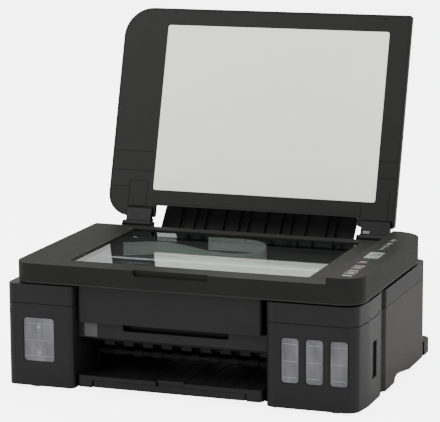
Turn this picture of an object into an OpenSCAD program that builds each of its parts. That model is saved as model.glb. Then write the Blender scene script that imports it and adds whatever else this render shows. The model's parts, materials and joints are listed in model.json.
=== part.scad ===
// Inkjet printer with built-in ink tanks, a flatbed scanner and a rear paper feed.
// +X is the user's right, +Y the back and +Z up. Y is measured back from the front plane
// of the ink tank towers, then in_frame() puts the origin on the floor, under the middle of
// the whole object as it stands, with the document cover open and the paper support up.

/* [Body] */
// Width of the body
body_w = 445; // [440:1:450]
// Depth of the body, from the tower fronts to the back wall
body_d = 296.6; // [295:0.1:298]
// Height of the seam between the lower body and the tank covers
seam_z = 105.6; // [104:0.1:107]
// Top of the body, below the scanner unit
deck_z = 128.3; // [127.5:0.1:128.5]
// Wall thickness of the casings
wall = 2.5; // [2.2:0.1:2.8]

/* [Scanner and cover] */
// Left edge of the scanner unit
scan_x0 = -214.8; // [-216:0.1:-214]
// Underside of the scanner unit
scan_z0 = 131.3; // [131:0.1:132]
// Top of the scanner bezel
bezel_z = 155; // [154.6:0.1:155.2]
// Depth of the scanner unit
scan_d = 293; // [292:0.5:294]
// How far the document cover stands open, measured from closed
open_deg = 106.7; // [90:0.1:108]
// How far the paper support leans back from upright
lean_deg = 40; // [35:1:42]

/* [Towers] */
// Inner edge of the left tower
left_tower_x = -136; // [-137:0.5:-135]
// Inner edge of the right tower
right_tower_x = 106.4; // [106:0.1:107]
// Depth of the towers
tower_d = 89; // [88:0.5:90]

/* [Hidden] */
$fn = 64;
eps = 0.01;
half_w = body_w / 2;
seam_gap = 0.7;
floor_z = 3;
foot_d = 330;            // back of the low foot behind the body
cover_gap = 1.5;         // document cover's front edge behind the front plane, when closed
hinge_y = 291.3;         // document cover's hinge
hinge_z = 151.9;
cover_back = 265.1;      // document cover's rear edge, when closed
cover_in_z = 156.3;      // its inner face and its outer face, when closed
cover_out_z = 163;
cover_x0 = -213;
cover_x1 = 180.5;
lift_y = 291;            // scanner unit's hinge
lift_z = 131;
panel_x = 181;           // left edge of the control panel
panel_z = 163.2;
crease_y = 65;           // where the front skirt of the scanner ends on the right side
glass_x0 = -152;         // opening over the glass
glass_x1 = 151;
glass_y0 = 32;
glass_y1 = 245;
support_y = 319;         // paper support's hinge
support_z = 134;
support_len = 98;
shoulder = 45;           // height of the support's wider lower part
bay_s = 31;              // where the extension's bay starts, up the support
support_x0 = -147;
support_x1 = 119;
path_z = 35;             // axis height of the paper rollers
feed_y = 163;            // main feed roller
eject_y = 73;            // eject roller
fit = 0.05;              // radial clearance of a running fit
rest_depth = hinge_y + (hinge_y - cover_gap) * sin(open_deg - 90)
    + (cover_out_z - hinge_z) * cos(open_deg - 90);
charcoal = [0.16, 0.16, 0.17];
dark = [0.10, 0.10, 0.11];
steel = [0.62, 0.63, 0.65];
milky = [0.80, 0.80, 0.84];

// ---------- shared shapes ----------

// Puts the part in the object's own frame
module in_frame() translate([0, -rest_depth / 2, 0]) children();

// Box from its low corner to its high corner
module box(low, high) translate(low) cube([high[0] - low[0], high[1] - low[1], high[2] - low[2]]);

// What a rounded corner takes off a square corner at the origin, opening to +X and +Y
module corner_waste(r) difference() {
    translate([-1, -1]) square(r + 1);
    translate([r, r]) circle(r);
}

// Rectangle with its own radius at each corner: front left, front right, back right, back left
module plan(x0, y0, x1, y1, r) difference() {
    translate([x0, y0]) square([x1 - x0, y1 - y0]);
    if (r[0] > 0) translate([x0, y0]) corner_waste(r[0]);
    if (r[1] > 0) translate([x1, y0]) mirror([1, 0]) corner_waste(r[1]);
    if (r[2] > 0) translate([x1, y1]) mirror([1, 0]) mirror([0, 1]) corner_waste(r[2]);
    if (r[3] > 0) translate([x0, y1]) mirror([0, 1]) corner_waste(r[3]);
}

// The same rectangle taken in by t
module plan_in(x0, y0, x1, y1, r, t)
    plan(x0 + t, y0 + t, x1 - t, y1 - t, [for (k = r) max(k - t, 0)]);

// Solid block on such a plan
module block(x0, y0, x1, y1, z0, z1, r)
    translate([0, 0, z0]) linear_extrude(z1 - z0) plan(x0, y0, x1, y1, r);

// Upright slab facing the front, with rounded corners: x and z give its outline
module face_slab(x0, z0, x1, z1, y0, y1, r)
    translate([0, y1, 0]) rotate([90, 0, 0]) linear_extrude(y1 - y0)
        plan(x0, z0, x1, z1, [r, r, r, r]);

// Cylinders along X and along Y
module rod_x(x0, x1, y, z, r) translate([x0, y, z]) rotate([0, 90, 0]) cylinder(h = x1 - x0, r = r);
module rod_y(y0, y1, x, z, r) translate([x, y1, z]) rotate([90, 0, 0]) cylinder(h = y1 - y0, r = r);

// Spur gear or pulley around X, from x0 to x1
module gear_x(x0, x1, y, z, teeth, m, bore, turn = 0)
    translate([x0, y, z]) rotate([0, 90, 0]) rotate([0, 0, 90 + turn]) linear_extrude(x1 - x0)
        difference() {
            union() {
                circle(m * (teeth / 2 - 1.2));
                for (k = [0 : teeth - 1]) rotate(k * 360 / teeth)
                    polygon([[m * (teeth / 2 - 1.5), -0.95 * m], [m * (teeth / 2), -0.62 * m],
                        [m * (teeth / 2 + 0.8), -0.3 * m], [m * (teeth / 2 + 0.8), 0.3 * m],
                        [m * (teeth / 2), 0.62 * m], [m * (teeth / 2 - 1.5), 0.95 * m]]);
            }
            if (bore > 0) circle(bore);
        }

// ---------- lower body ----------

// Plan of the main body behind the towers, with a shallow groove next to them
groove_end = 108;
groove_in = 3.5;
module body_plan(t = 0) {
    plan_in(-half_w, groove_end, half_w, body_d, [6, 6, 10, 10], t);
    plan_in(-half_w + groove_in, tower_d + 0.5, half_w - groove_in, groove_end + 20,
        [0, 0, 0, 0], t);
}
module body_wall(z0, z1) translate([0, 0, z0]) linear_extrude(z1 - z0) difference() {
    body_plan();
    body_plan(wall);
    translate([-half_w, tower_d]) square([body_w, wall + 1]);
}

module base_case() color(dark) in_frame() {
    difference() {
        union() {
            translate([0, 0, floor_z]) linear_extrude(base_t) body_plan(3.2);
            box([left_tower_x + 0.8, 24, floor_z], [right_tower_x - 0.8, tower_d + 6, floor_z + base_t]);
            // lip inside the side covers
            translate([0, 0, floor_z]) linear_extrude(15) difference() {
                body_plan(3.2);
                body_plan(5.2);
            }
        }
        // way through the lip for the output tray
        box([left_tower_x - 2, tower_d, floor_z + base_t], [right_tower_x + 2, tower_d + 10, 30]);
        // hand recess under the right side
        box([recess_x, 148, 0], [half_w, 228, 30]);
        // vents
        for (x = [-150 : 60 : 150]) box([x - 12, 240, 0], [x + 12, 244, 10]);
    }
    // walls and roof of the hand recess
    difference() {
        box([recess_x - 2, 146, floor_z], [half_w - 3.2, 230, 15]);
        box([recess_x, 148, 0], [half_w, 228, 13]);
    }
    // low foot behind the body
    difference() {
        block(-half_w + 1.5, body_d + 0.2, half_w, foot_d, floor_z, foot_top, [0, 0, 14, 14]);
        block(-half_w + 4, body_d - 1, half_w - 2.5, foot_d - 2.5, floor_z - 1, foot_top - 2.5,
            [0, 0, 11, 11]);
    }
    box([-149, body_d - 6, floor_z], [149, foot_d - 1, floor_z + base_t]);
    // bosses that carry the platen and the chassis
    for (x = [-128.6, 112.8]) box([x, bar_y, floor_z + 2], [x + 5, bar_y + 8, bar_z]);
    for (x = [-197, 189]) box([x, 180, floor_z + 2], [x + 8, 188, 30]);
}

foot_r = 9;
foot_top = 21;
recess_x = 200;
base_t = 2.5;
bar_y = 116;             // cross bar that carries the platen
bar_z = 29.5;
module rubber_feet() color([0.05, 0.05, 0.05]) in_frame()
    for (x = [-190, 190], y = [18, 268]) translate([x, y, 0]) {
        cylinder(h = y < 100 ? floor_z + 0.5 : floor_z, r = foot_r);
    }

module side_cover(side) color(charcoal) in_frame() difference() {
    intersection() {
        body_wall(floor_z, seam_z);
        box([side < 0 ? -half_w - 1 : 150, 0, 0], [side < 0 ? -150 : half_w + 1, 400, 200]);
    }
    // raised bottom edge that leaves room for a hand
    if (side > 0) translate([half_w - 8, 0, 0]) rotate([90, 0, 90]) linear_extrude(20)
        polygon([[150, 0], [222, 0], [222, floor_z + 0.4], [182, 9.4], [168, 11], [158, 9.5],
            [154, 5]]);
    if (side > 0) face_slab(152, 24, 176, 40, body_d - 4, body_d + 1, 3);
    if (side < 0) box([-204, body_d - 4, 60], [-191.8, body_d + 1, 71]);
}
module left_side_cover() side_cover(-1);
module right_side_cover() side_cover(1);

module rear_cover() color(charcoal) in_frame() difference() {
    box([-149.7, body_d - wall, foot_top + 0.3], [149.7, body_d, seam_z]);
    // notch for the paper guide
    box([support_x0 - 8.5, body_d - 4, 99], [support_x1 + 8.5, body_d + 1, seam_z + 1]);
    for (z = [40 : 7 : 82], x = [-125, -65, 5, 65]) box([x, body_d - 4, z], [x + 46, body_d + 1, z + 2.6]);
}

// Ledge round the top of the body, with the guide that the paper slides down
module upper_frame() color(charcoal) in_frame() {
    difference() {
        union() {
            body_wall(seam_z + 0.5, deck_z);
            translate([0, 0, deck_z - 2.3]) linear_extrude(2.3) body_plan();
            box([left_tower_x + 1, 17, deck_z - 2.3], [right_tower_x - 8, tower_d + 1, deck_z]);
        }
        block(-192, 101, 192, 262, 100, 140, [8, 8, 8, 8]);
        box([guide_x0 + 0.5, 250, 90], [guide_x1 - 0.5, body_d + 1, 140]);
    }
    // cheeks that hold the paper support
    for (x = [support_x0 - 8, support_x1 + 4.5]) difference() {
        translate([x, 0, 0]) rotate([90, 0, 90]) linear_extrude(3.5)
            polygon([[287, cheek_z], [302, cheek_z], [327, 128], [327, 139], [306, 139], [287, 127]]);
        rod_x(x - 1, x + 5, support_y, support_z, 2 + fit);
    }
    // sloping guide
    leaned() box([guide_x0, 0, -92], [guide_x1, 2, -9.5]);
    for (x = [support_x0 + 6 : 36 : support_x1]) leaned() box([x, -1.2, -90], [x + 2, 0.2, -10]);
    // arms that carry the pickup roller
    difference() {
        for (x = [-63, 99]) leaned() box([x, -pickup_off - 5, -pickup_s - 5], [x + 2.5, 1, -pickup_s + 5]);
        rod_x(-65, 103, pickup_y, pickup_z, 3 + fit);
    }
    // lugs of the scanner unit's hinge
    for (x = lift_lugs) difference() {
        union() {
            rod_x(x, x + lug_w, lift_y, lift_z, 2.6);
            box([x, lift_y - 2.6, deck_z - 1], [x + lug_w, lift_y + 2.6, lift_z]);
        }
        rod_x(x - 1, x + lug_w + 1, lift_y, lift_z, 1 + fit);
    }
}
guide_x0 = -149.5;       // ends of the sloping guide
guide_x1 = 123.6;
cheek_z = 106.4;         // underside of the cheeks, clear of the side covers
lift_lugs = [-172, 150];
lug_w = 6;

// Local frame of the paper path at the back: Z runs up the slope and Y faces away behind it
module leaned() translate([0, support_y, support_z]) rotate([-lean_deg, 0, 0]) children();

// ---------- ink tank towers ----------

// Plan of one tower; side says which way its outer side faces. The right tower's outer side
// turns in a little towards the front, and its corner is round between that side and the front.
side_turn = 5.2;
turn_y = 37;
turn_r = 16;
turn_deg = atan(side_turn / turn_y);
turn_c = [half_w - side_turn - turn_r * tan(45 - turn_deg / 2), turn_r];
module tower_plan(side, t = 0) {
    x0 = side > 0 ? right_tower_x : -half_w;
    x1 = side > 0 ? half_w : left_tower_x;
    r = side > 0 ? [12, 0, 0, 0] : [10, 6, 0, 0];
    inset = t / cos(turn_deg);
    difference() {
        plan_in(x0, 0, x1, tower_d, r, t);
        if (side > 0) {
            polygon([[half_w + 1 - t, turn_y + 7], [half_w - inset, turn_y],
                [half_w - side_turn - inset, 0], [half_w - side_turn - inset, -5], [half_w + 1 - t, -5]]);
            difference() {
                polygon([turn_c, [turn_c[0], -1], [half_w + 1, -1],
                    [half_w + 1, turn_r - (half_w + 1 - turn_c[0]) * tan(turn_deg)]]);
                translate(turn_c) circle(turn_r - t);
            }
        }
    }
}
module tower_block(side, z0, z1, t = 0)
    translate([0, 0, z0]) linear_extrude(z1 - z0) tower_plan(side, t);

window_z0 = 34.5;
window_z1 = 88;
left_windows = [[-200.2, -161.2]];
right_windows = [[127.4, 148.2], [157.3, 178], [187, 207.8]];
module window_holes(windows, grow, y0, y1)
    for (w = windows)
        face_slab(w[0] - grow, window_z0 - grow, w[1] + grow, window_z1 + grow, y0, y1, 4 + grow);

// Hinge of a tank cover, a moulded pip in a lug at each end
tank_hinge_x = half_w - 1.5;
tank_hinge_z = 107.6;
tank_lugs = [40, 78];
tank_lug_w = 5;
module tank_housing(side, windows) color(charcoal) in_frame() difference() {
    union() {
        // lugs of the tank cover's hinge
        for (y = tank_lugs) mirror([side > 0 ? 0 : 1, 0, 0]) {
            rod_y(y, y + tank_lug_w, tank_hinge_x, tank_hinge_z, 1.5);
            box([tank_hinge_x - 1.5, y, seam_z - 2], [tank_hinge_x + 1.5, y + tank_lug_w, tank_hinge_z]);
        }
        difference() {
            tower_block(side, floor_z + 0.5, seam_z - 0.4);
            tower_block(side, floor_z + 3, seam_z + 10, wall);
        }
        // thicker wall behind the hand recess
        if (side > 0) box([half_w - 6.5, 48, 28], [half_w - 1, 76, 82]);
    }
    window_holes(windows, 0, -1, 6);
    window_holes(windows, 1.2, -1, 0.7);
    // scooped hand recess on the outer side
    if (side > 0) translate([0, 0, 33]) linear_extrude(44)
        polygon([[half_w + 1, 50], [half_w, 51.5], [half_w - 3.6, 71], [half_w + 1, 71]]);
    mirror([side > 0 ? 0 : 1, 0, 0]) rod_y(0, tower_d, tank_hinge_x, tank_hinge_z, 0.75 + fit);
    // openings for the ink tubes
    for (x = side > 0 ? [137.8, 167.6, 197.4] : [-180.5]) rod_y(tower_d - 4, tower_d + 1, x, 92, 3);
}
module left_tank_housing() tank_housing(-1, left_windows);
module right_tank_housing() tank_housing(1, right_windows);

cover_base = seam_z + 0.3;
module tank_cover(side) color(charcoal) in_frame() {
    difference() {
        tower_block(side, cover_base, deck_z + 1);
        tower_block(side, cover_base - 1, deck_z - 1.4, wall);
        mirror([side > 0 ? 0 : 1, 0, 0]) {
            // relief that lets the outer edge roll past the housing
            box([half_w - 3, -1, 0], [half_w + 1, tower_d + 1, cover_base + 0.35]);
            for (y = tank_lugs)
                box([half_w - 4, y - 0.4, 0], [half_w + 1, y + tank_lug_w + 0.4, tank_hinge_z + 2]);
        }
    }
    for (y = tank_lugs) mirror([side > 0 ? 0 : 1, 0, 0])
        rod_y(y - 1, y + tank_lug_w + 1, tank_hinge_x, tank_hinge_z, 0.75);
}
module left_tank_cover() tank_cover(-1);
module right_tank_cover() tank_cover(1);

module tank_windows() color(milky) in_frame()
    window_holes(concat(left_windows, right_windows), -0.1, 0.9, 2.3);

tank_y0 = 5;
tank_y1 = 78;
tank_z1 = 94;
tanks = [[-208, -153.5], [124.2, 151.4], [154.1, 181.2], [183.9, 211]];
neck_r = 6;
module ink_tanks() color(milky) in_frame() for (t = tanks) {
    x = (t[0] + t[1]) / 2;
    difference() {
        union() {
            block(t[0], tank_y0, t[1], tank_y1, 8, tank_z1, [3, 3, 3, 3]);
            translate([x, 30, tank_z1 - eps]) cylinder(h = 6, r = neck_r);
        }
        block(t[0] + 1.6, tank_y0 + 1.6, t[1] - 1.6, tank_y1 - 1.6, 9.6, tank_z1 - 1.6, [2, 2, 2, 2]);
        translate([x, 30, 60]) cylinder(h = 60, r = neck_r - 1.8);
    }
}
module tank_caps() color([0.2, 0.2, 0.22]) in_frame() for (t = tanks)
    translate([(t[0] + t[1]) / 2, 30, tank_z1 + 6]) {
        cylinder(h = 3.5, r = neck_r + 2.5);
        translate([0, 0, -4]) cylinder(h = 4.5, r = neck_r - 1.9);
        translate([-4, -1.5, 3]) cube([8, 3, 5]);
    }

// ---------- front ----------

panel_y = 10.5;          // front face and right end of the front panel
panel_x1 = 99.6;
module front_panel() color(charcoal) in_frame() difference() {
    block(left_tower_x + 0.4, panel_y, panel_x1, 32, 85, deck_z + 0.7, [5, 5, 0, 0]);
    block(left_tower_x + 0.4 + wall, panel_y + wall, panel_x1 - wall, 40, 80, deck_z - 2.4,
        [2.5, 2.5, 0, 0]);
    box([left_tower_x, 16.8, deck_z - 2.5], [100, 40, deck_z + 1]);
}

module front_strip() color(charcoal) in_frame() {
    difference() {
        box([left_tower_x + 0.6, 16.5, 65.5], [right_tower_x - 0.6, 32, 84.8]);
        box([left_tower_x + 3, 19, 68], [right_tower_x - 3, 33, 90]);
        // finger slot
        face_slab(-78, 75.8, 57, 85.5, 16, 20, 3);
    }
    // pocket behind the finger slot
    difference() {
        box([-81, 18.8, 73.6], [60, 31, 84.8]);
        face_slab(-78, 75.8, 57, 88, 16, 28.6, 3);
    }
}

tray_x0 = -133.7;
tray_x1 = 102.2;
ext_x0 = -113.7;
ext_x1 = 82.5;
tray_z0 = 6;
tray_z1 = 20.4;
tray_bed = 17.6;
module output_tray() color(charcoal) in_frame() difference() {
    union() {
        block(tray_x0, 5, tray_x1, 42, tray_z0, tray_z1, [6, 6, 0, 0]);
        box([-118, 41, tray_z0], [98, 176, tray_bed]);
    }
    // the bed lies lower than the lip
    block(tray_x0 + 3, 9, tray_x1 - 3, 60, tray_bed, tray_z1 + 1, [4, 4, 0, 0]);
    // room for the extension
    box([ext_x0 - 0.4, 0, tray_z0 - 1], [ext_x1 + 0.4, 150, 15.2]);
    // hollow beside the extension's bay
    box([ext_x1 + 3, 45, tray_z0 - 1], [96, 173, 15.2]);
    // thumb notch
    box([-32, 0, 14], [4, 12.4, tray_z1 + 1]);
    // shallow channels in the bed
    for (x = [-100 : 20 : 90]) box([x - 0.6, 14, tray_bed - 0.6], [x + 0.6, 172, tray_z1 + 1]);
}
module output_tray_extension() color(charcoal) in_frame() {
    block(ext_x0, 5, ext_x1, 140, tray_z0 + 0.4, 14.8, [4, 4, 0, 0]);
    // raised thumb tab in the notch
    box([-31, 8.6, 14.6], [3, 11.6, 21.2]);
}

// ---------- paper drive ----------

holder_y0 = 46;
module star_wheel_holder() color(dark) in_frame() difference() {
    union() {
        box([left_tower_x, holder_y0, 55], [right_tower_x, 84, 61]);
        for (x = [-114 : 25 : 100]) box([x, holder_y0, 50], [x + 13, 84, 55.5]);
        for (x = [-118, 99]) box([x, eject_y - 4, star_z - 1.8], [x + 3, eject_y + 4, 55.5]);
    }
    for (x = [-108 : 25 : 100]) box([x - 1.5, eject_y - 7, 40], [x + 2.5, eject_y + 7, 57]);
    rod_x(-120, 104, eject_y, star_z, 1 + fit);
}
star_r = 6;
eject_r = 4.5;
star_z = path_z + eject_r + 0.3 + star_r;
module star_wheels() color(steel) in_frame() {
    rod_x(-118.5, 102.5, eject_y, star_z, 1);
    for (x = [-108 : 25 : 92]) rod_x(x, x + 0.8, eject_y, star_z, star_r);
}

belt_r = 4.2;
module eject_roller() color(dark) in_frame() {
    rod_x(-131, 101, eject_y, path_z, 3);
    for (x = [-111 : 25 : 75]) rod_x(x, x + 12, eject_y, path_z, eject_r);
    rod_x(-121, -115.5, eject_y, path_z, belt_r);
}
feed_teeth = 40;
pinion_teeth = 15;
gear_m = 0.6;
pinion_y = feed_y + gear_m * (feed_teeth + pinion_teeth) / 2;
module feed_roller() color(steel) in_frame() {
    rod_x(-131, 123, feed_y, path_z, 3);
    rod_x(-112, 108, feed_y, path_z, 5);
    rod_x(-121, -115.5, feed_y, path_z, belt_r);
    gear_x(-128, -122.5, feed_y, path_z, feed_teeth, gear_m, 0);
}
module motor_pinion() color([0.85, 0.83, 0.75]) in_frame()
    gear_x(-128, -122.5, pinion_y, path_z, pinion_teeth, gear_m, 1.5 + fit);

// Flat loop of belt round two pulleys on X axes
module paper_drive_belt() color([0.06, 0.06, 0.06]) in_frame()
    translate([-121, 0, 0]) rotate([90, 0, 90]) linear_extrude(5.5) difference() {
        belt_outline(belt_r + 1.3);
        belt_outline(belt_r + 0.3);
    }
module belt_outline(r) {
    translate([eject_y, path_z]) circle(r);
    translate([feed_y, path_z]) circle(r);
    translate([eject_y, path_z - r]) square([feed_y - eject_y, 2 * r]);
}

plate_z = 40.5;
module platen() color(dark) in_frame() difference() {
    union() {
        box([-112, 82, 31], [100, 154, 34]);
        for (x = [-104 : 16 : 96]) box([x, 84, 33], [x + 2, 152, 39]);
        // side plates that carry the rollers
        box([-131.8, 66, 27], [-128.8, 176, plate_z]);
        box([119, bar_y, 27], [122.5, 176, plate_z]);
        box([96, 66, 27], [99.5, bar_y + 8, plate_z]);
        box([-131.8, bar_y, bar_z], [122.5, bar_y + 8, bar_z + 4]);
    }
    rod_x(-134, 124, feed_y, path_z, 3 + fit);
    rod_x(-134, 101, eject_y, path_z, 3 + fit);
    // channel for the lower run of the drive belt
    box([-122, bar_y - 1, bar_z - 1], [-114.5, bar_y + 9, path_z - belt_r + 0.7]);
}

pickup_r = 13;
pickup_off = pickup_r + 1.7;       // in front of the sloping guide
pickup_s = 68.7;                   // below the paper support's hinge, along the guide
pickup_y = support_y - pickup_off * cos(lean_deg) - pickup_s * sin(lean_deg);
pickup_z = support_z + pickup_off * sin(lean_deg) - pickup_s * cos(lean_deg);
module pickup_roller() color([0.12, 0.12, 0.12]) in_frame() {
    rod_x(-64, 103, pickup_y, pickup_z, 3);
    for (x = [-30, 2]) rod_x(x, x + 18, pickup_y, pickup_z, pickup_r);
}

belt_x = 185;
belt_z = 111;
module drive_motors() color(steel) in_frame() {
    // paper feed motor
    rod_x(-160, -134, pinion_y, path_z, 11);
    rod_x(-134.5, -122, pinion_y, path_z, 1.5);
    box([-160, pinion_y - 6, floor_z + 2.5], [-140, pinion_y + 6, path_z - 9]);
    // carriage motor
    rod_y(187.6, 212, -belt_x, belt_z, 12);
    rod_y(177, 188, -belt_x, belt_z, 1.5);
}

// ---------- print carriage ----------

module carriage() color(dark) in_frame() difference() {
    union() {
        box([104, 99, 50], [194, 184, 104]);
        box([140, 176, 103], [156, 184.4, belt_z - 2]);
    }
    box([107, 102, 56], [191, 168, 106]);
    box([110, 104, 40], [188, 140, 58]);
    // channel that slides on the chassis rail
    box([90, 177.6, 79.7], [200, 190, 82.3]);
    // clip over the belt
    box([130, 170, belt_z - 6.6], [170, 190, belt_z - 5]);
}
head_z = 41.5;
module print_heads() color([0.3, 0.3, 0.32]) in_frame() {
    for (x = [[111, 148], [150, 187]]) {
        box([x[0], 105, head_z + 2], [x[1], 139, 96]);
        box([x[0] + 4, 110, head_z], [x[1] - 4, 134, head_z + 2.5]);
    }
}
module chassis_frame() color(steel) in_frame() {
    difference() {
        union() {
            box([-200, 186, 62], [200, 187.5, 122]);
            box([-200, 178, 80], [200, 186.5, 82]);
            for (x = [-200, 186]) box([x, 186, 30], [x + 14, 187.5, 63]);
            for (x = [-200, 186]) box([x, 178, 30], [x + 14, 187.5, 31.5]);
            // idler of the carriage belt
            rod_y(178, 186.5, belt_x, belt_z, 5);
        }
        rod_y(180, 192, -belt_x, belt_z, 3);
        for (x = [-150 : 60 : 150]) face_slab(x - 20, 90, x + 20, 100, 180, 190, 4);
    }
}
module timing_belt() color([0.05, 0.05, 0.05]) in_frame()
    translate([0, 184, 0]) rotate([90, 0, 0]) linear_extrude(6) difference() {
        carriage_belt_outline(6.3);
        carriage_belt_outline(5.3);
    }
module carriage_belt_outline(r) {
    for (x = [-belt_x, belt_x]) translate([x, belt_z]) circle(r);
    translate([-belt_x, belt_z - r]) square([2 * belt_x, 2 * r]);
}
module drive_pulley() color([0.85, 0.83, 0.75]) in_frame() difference() {
    rod_y(178, 184, -belt_x, belt_z, 5);
    rod_y(177, 185, -belt_x, belt_z, 1.5 + fit);
    rod_y(177, 179, -belt_x + 3.2, belt_z, 0.6);
}

// Tubes from the tanks to the manifold over the middle of the carriage's path
module ink_tubes() color([0.75, 0.75, 0.8]) in_frame() for (k = [0 : 3]) {
    x = (tanks[k][0] + tanks[k][1]) / 2;
    z = 108 + 4 * k;
    side = k == 0 ? -24 : -12 + 4 * k;
    rod_y(tank_y1, 94, x, 92, 1.5);
    translate([x, 94, 92]) sphere(1.5);
    translate([x, 94, 92]) cylinder(h = z - 92, r = 1.5);
    translate([x, 94, z]) sphere(1.5);
    rod_x(min(x, side), max(x, side), 94, z, 1.5);
    translate([side, 94, z]) sphere(1.5);
    rod_y(94, 147, side, z, 1.5);
    box([-28, 146, 105], [6, 150, 124]);
}

module maintenance_unit() color([0.22, 0.22, 0.24]) in_frame() {
    difference() {
        box([126, 100, floor_z + 2.5], [192, 165, 36]);
        box([129, 103, 14], [189, 162, 40]);
    }
    // caps that close the parked print heads
    for (x = [129, 152]) difference() {
        box([x, 108, 12], [x + (x < 140 ? 18 : 33), 136, head_z - 0.5]);
        box([x + 2, 110, head_z - 4], [x + (x < 140 ? 16 : 31), 134, head_z + 1]);
    }
}

module main_board() color([0.05, 0.30, 0.16]) in_frame() {
    box([-213, 120, 20], [-211.4, 260, 92]);
    for (y = [130 : 34 : 240], z = [30, 62]) box([-211.5, y, z], [-208, y + 20, z + 20]);
}
module power_supply() color([0.25, 0.25, 0.27]) in_frame() difference() {
    box([124, 205, floor_z + 2.5], [196, 280, 56]);
    for (y = [215 : 8 : 270]) box([135, y, 50], [185, y + 3, 57]);
}
module rear_sockets() color([0.04, 0.04, 0.04]) in_frame() {
    // mains inlet, two pins in a well
    difference() {
        face_slab(152.3, 24.3, 175.7, 39.7, 281, body_d + 0.4, 2.7);
        face_slab(155, 27, 173, 37, 284, body_d + 1, 4);
    }
    for (x = [160, 168]) rod_y(283.5, 293, x, 32, 1.2);
    // square data socket
    difference() {
        box([-203.8, 279, 60.2], [-192, body_d + 0.3, 70.8]);
        box([-202.6, 283, 61.4], [-193.2, body_d + 1, 69.6]);
    }
    box([-200.6, 282.5, 64.2], [-195.2, 294, 66.8]);
}

// ---------- rear paper feed ----------

ribs = [-122, -102, -87, -61, -40, -27, -4, 18, 32, 52, 80, 92];
module paper_support() color(dark) in_frame() leaned() {
    difference() {
        translate([0, 3, 0]) rotate([90, 0, 0]) linear_extrude(3)
        {
            plan(support_x0, 4.6, support_x1, shoulder, [2, 2, 5, 5]);
            plan(support_x0 + 9, shoulder - 10, support_x1 - 9, support_len, [0, 0, 12, 12]);
        }
        // bay of the extension, open to the back
        translate([0, 1.4, 0]) box([-74, 0, bay_s], [51, 3, support_len + 1]);
    }
    for (x = ribs) box([x, -4, 6], [x + 1.4, 0.1, support_len - 3]);
    // hinge barrels and their pips
    for (x = [support_x0, support_x1 - 16]) {
        rod_x(x, x + 16, 0, 0, 3.2);
        box([x, -2, 0], [x + 16, 3, 6]);
    }
    rod_x(support_x0 - 7, support_x0 + 1, 0, 0, 2);
    rod_x(support_x1 - 1, support_x1 + 7, 0, 0, 2);
}
module paper_support_extension() color(charcoal) in_frame() leaned()
    translate([0, 1.7, 0]) box([-73.6, 0, bay_s + 1], [50.6, 1.2, support_len - 1]);

guide_w = 26;
module guide(x, side) leaned() {
    box([min(x, x - side * guide_w), -3.6, -46], [max(x, x - side * guide_w), -1.6, -12]);
    box([min(x, x + side * 2), -14, -46], [max(x, x + side * 2), -1.6, -12]);
}
guide_mid = (support_x0 + support_x1) / 2;
module left_paper_guide() color(charcoal) in_frame() guide(guide_mid - 106, -1);
module right_paper_guide() color(charcoal) in_frame() guide(guide_mid + 106, 1);

slot_cover_y = 300.5;
slot_cover_z = 137;
module feed_slot_cover() color(charcoal) in_frame() {
    box([support_x0 + 3, slot_cover_y, slot_cover_z - 1], [support_x1 - 3, 312, slot_cover_z + 1]);
    rod_x(support_x0 - 1, support_x1 + 1, slot_cover_y, slot_cover_z, 1.2);
}

// ---------- scanner unit ----------

scan_r = [25, 26, 37, 37];
module scan_plan(t = 0) plan_in(scan_x0, 0, half_w, scan_d, scan_r, t);
// Pins across the lugs of the body
module lift_pins() for (x = lift_lugs) rod_x(x - 1, x + lug_w + 1, lift_y, lift_z, 1);

module scan_wall(t0, t1, z0, z1) translate([0, 0, z0]) linear_extrude(z1 - z0) difference() {
    scan_plan(t0);
    scan_plan(t1);
}
// The part of the side that belongs to the control panel
module panel_side(grow) box([panel_x - grow, crease_y - grow, 100], [half_w + 1, scan_d + 1, 200]);
// Sloping rear edge of the bezel
module rear_slope(x1) translate([-300, 0, 0]) rotate([90, 0, 90]) linear_extrude(x1 + 300)
    polygon([[264.5, bezel_z + 0.01], [264.5, 170], [300, 170], [300, 143], [281, 149.8]]);

scan_rail_y = 140;
scan_rail_z = 137.5;
module scanner_lower_case() color(charcoal) in_frame() {
    lift_pins();
    lower_case();
}
module lower_case() difference() {
    union() {
        translate([0, 0, scan_z0]) linear_extrude(1.9) scan_plan(0.7);
        scan_wall(2.7, 4.7, scan_z0 + 1.8, 148);
        // supports of the scan bar's rail
        for (x = [-209.8, 209]) box([x, scan_rail_y - 5, 133], [x + 5, scan_rail_y + 5, 143]);
        // knuckles and pins of the hinge on the body
        for (x = lift_lugs) {
            rod_x(x - 3.4, x - 0.4, lift_y, lift_z, 2);
            rod_x(x + lug_w + 0.4, x + lug_w + 3.4, lift_y, lift_z, 2);
        }
    }
    box([-62, 0, 143.5], [40, 9, 160]);
    rod_x(-209.7, 213.9, scan_rail_y, scan_rail_z, 2.5);
    // lower at the back, under the top frame's rear bar
    box([-230, 249, rear_bar_z - 0.5], [230, 300, 160]);
    for (x = lift_lugs) box([x - 0.4, lift_y - 3.2, lift_z - 3], [x + lug_w + 0.4, lift_y + 4, lift_z + 3.3]);
}
rear_bar_z = 144;

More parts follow.
